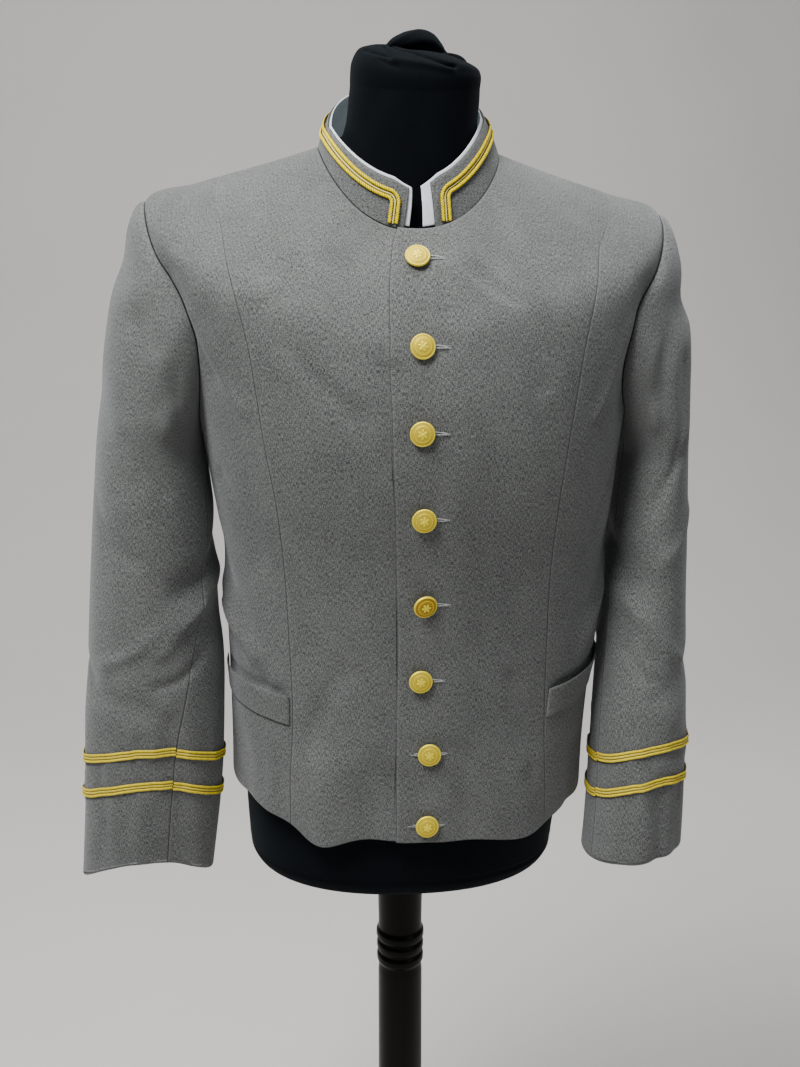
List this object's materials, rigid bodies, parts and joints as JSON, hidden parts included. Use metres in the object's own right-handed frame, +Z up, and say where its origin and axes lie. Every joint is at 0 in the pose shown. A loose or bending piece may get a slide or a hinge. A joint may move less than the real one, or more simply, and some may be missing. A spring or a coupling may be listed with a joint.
{
  "type": "stand-collar uniform jacket on dress form",
  "caption": "Hip-length grey wool uniform jacket with stand collar, gold cord braid on collar and cuffs, worn by a limbless dress form on a turned pole.",
  "frame": {"origin": "centre of the flat underside of the stand's round base", "axes": "+Z up, -Y the way the jacket's front faces, +X the wearer's left"},
  "size_m": [0.6241, 0.38, 1.5886],
  "materials": {
    "wool_cloth": "warm mid-grey worsted wool, fine pepper-and-salt twill, slight sheen",
    "white_liner": "white starched cotton collar liner",
    "gold_braid": "twisted gold cord, three sewn side by side",
    "gilt_buttons": "satin gilt, domed, with a low relief",
    "form_jersey": "black stretch jersey",
    "black_lacquer": "turned wood, glossy black lacquer"
  },
  "bodies": {
    "root": {"front_left": "wool_cloth", "front_right": "wool_cloth", "side_front_left": "wool_cloth", "side_front_right": "wool_cloth", "back_left": "wool_cloth", "back_right": "wool_cloth", "top_sleeve_left": "wool_cloth", "top_sleeve_right": "wool_cloth", "under_sleeve_left": "wool_cloth", "under_sleeve_right": "wool_cloth", "collar": "wool_cloth", "pocket_welt_left": "wool_cloth", "pocket_welt_right": "wool_cloth", "collar_liner": "white_liner", "collar_braid": "gold_braid", "cuff_braid_left_upper": "gold_braid", "cuff_braid_left_lower": "gold_braid", "cuff_braid_right_upper": "gold_braid", "cuff_braid_right_lower": "gold_braid", "button_1": "gilt_buttons", "button_2": "gilt_buttons", "button_3": "gilt_buttons", "button_4": "gilt_buttons", "button_5": "gilt_buttons", "button_6": "gilt_buttons", "button_7": "gilt_buttons", "button_8": "gilt_buttons", "form_torso": "form_jersey", "neck_cover": "form_jersey", "neck_knot": "form_jersey", "pole": "black_lacquer", "base": "black_lacquer"}
  },
  "joints": []
}
